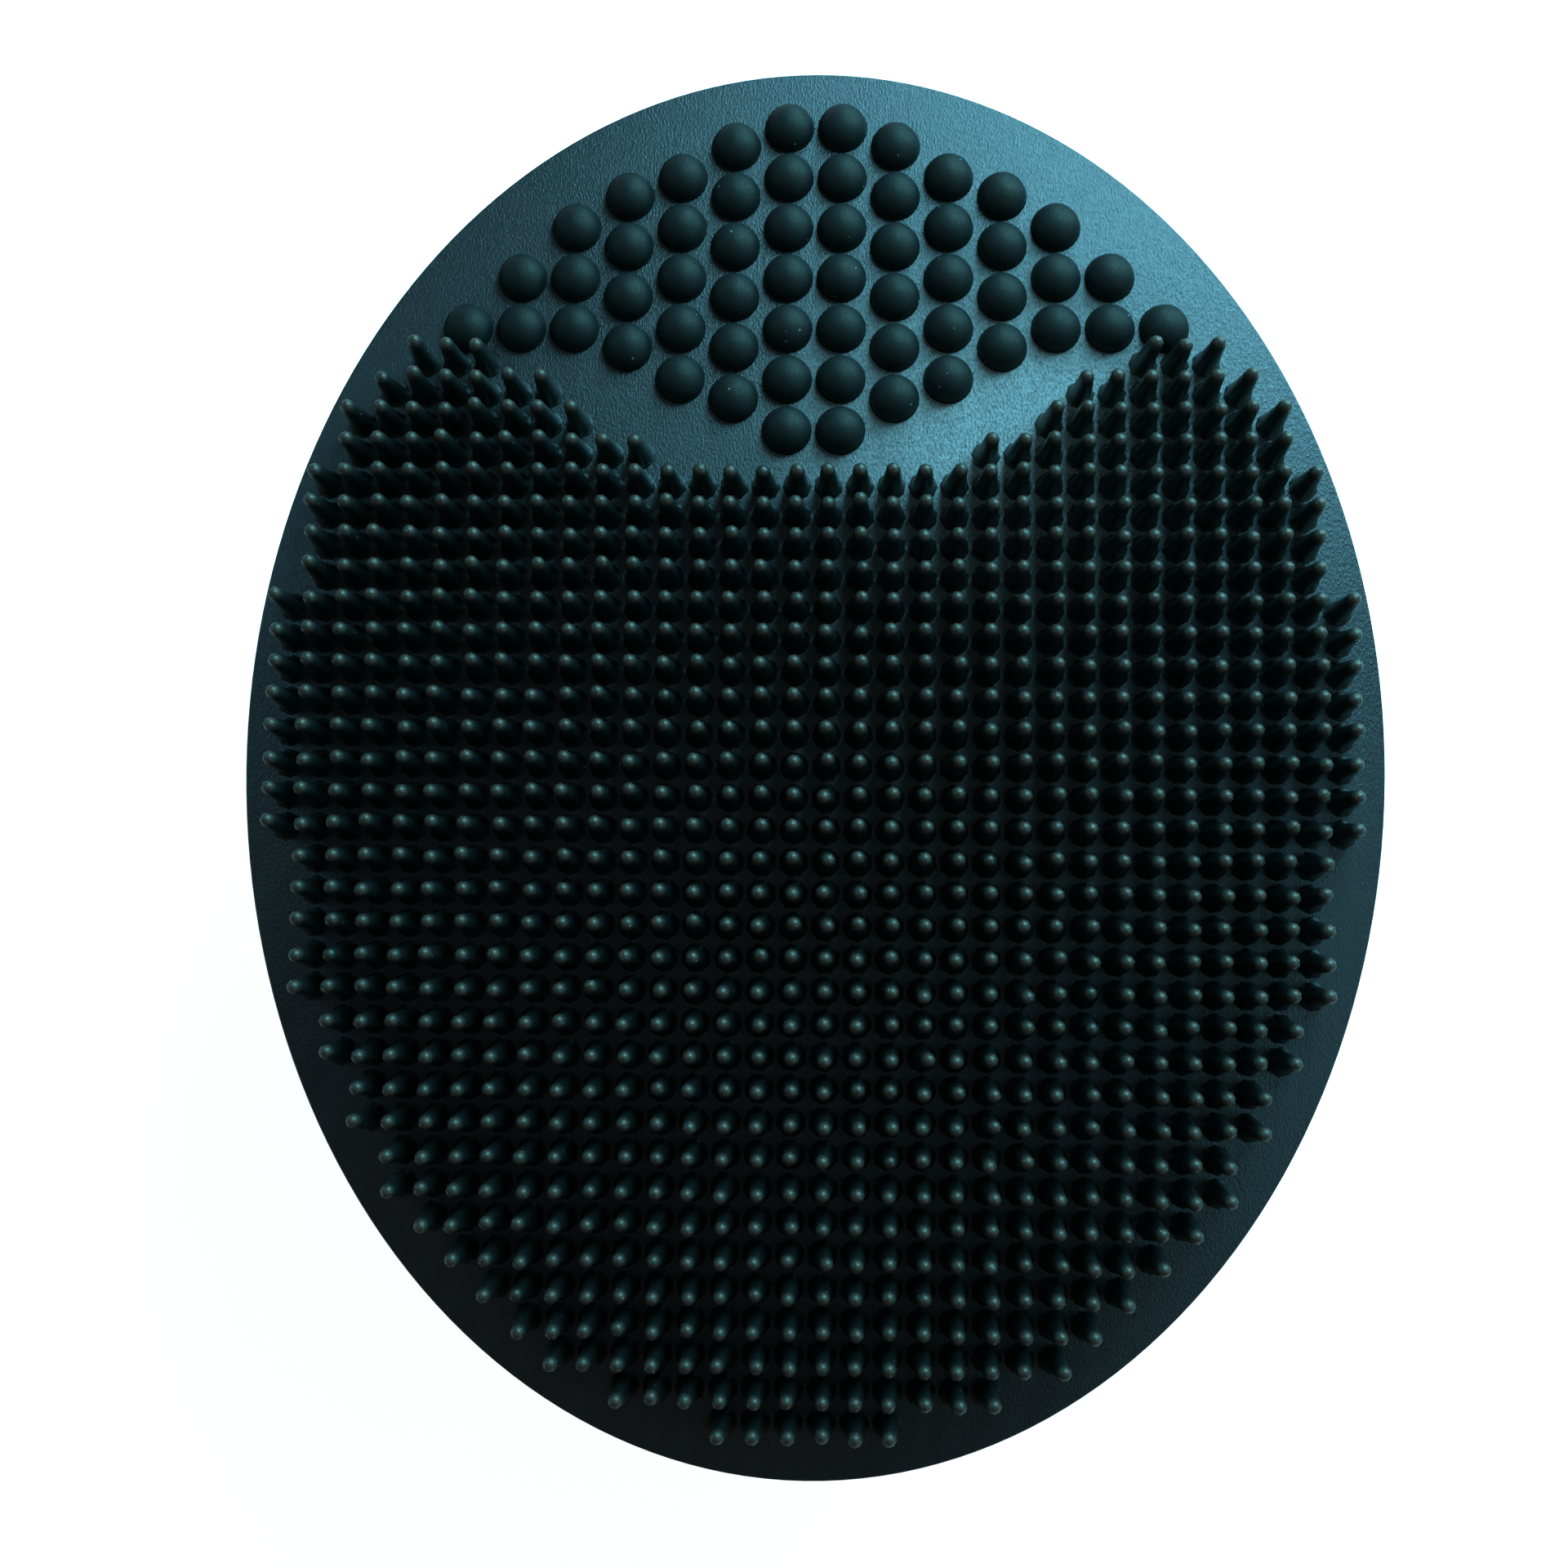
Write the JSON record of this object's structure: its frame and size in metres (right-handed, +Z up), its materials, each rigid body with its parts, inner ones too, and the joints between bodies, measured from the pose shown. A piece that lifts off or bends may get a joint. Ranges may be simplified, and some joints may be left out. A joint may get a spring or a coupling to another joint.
{
  "type": "rubber curry brush",
  "caption": "Oval rubber grooming brush with a field of short pins and a triangle of round nubs, on a stiff back plate with a hinged two-part hand strap.",
  "frame": {"origin": "on the surface that the brush lies on, strap down and pins up, under the middle of the oval", "axes": "+Z up, the way the pins point; +Y along the oval to the end with the nubs; +X across the oval, along the strap"},
  "size_m": [0.1074, 0.1334, 0.0507],
  "materials": {
    "rubber": "matte moulded rubber with a fine grain",
    "plate_plastic": "fine moulded texture",
    "cushion_foam": "closed-cell foam",
    "hinge_steel": "plain drawn wire",
    "strap_webbing": "woven webbing",
    "fastener_loop": "napped loop pile",
    "fastener_hook": "rows of small hooks",
    "tab_rubber": "matte moulded rubber"
  },
  "bodies": {
    "pad": {"rubber_pad": "rubber", "back_plate": "plate_plastic", "palm_cushion": "cushion_foam", "hinge_pin_left": "hinge_steel", "hinge_pin_right": "hinge_steel"},
    "inner_strap": {"strap_inner": "strap_webbing", "loop_patch": "fastener_loop"},
    "outer_strap": {"strap_outer": "strap_webbing", "hook_patch": "fastener_hook", "pull_tab": "tab_rubber"}
  },
  "joints": [
    {"name": "outer_strap_open", "type": "hinge", "parent": "pad", "child": "outer_strap", "pos_m": [0.041, 0, 0.0332], "axis": [0, -1, 0], "range_deg": [0, 90]},
    {"name": "inner_strap_fold", "type": "hinge", "parent": "pad", "child": "inner_strap", "pos_m": [-0.041, 0, 0.0332], "axis": [0, -1, 0], "range_deg": [0, 22]}
  ]
}
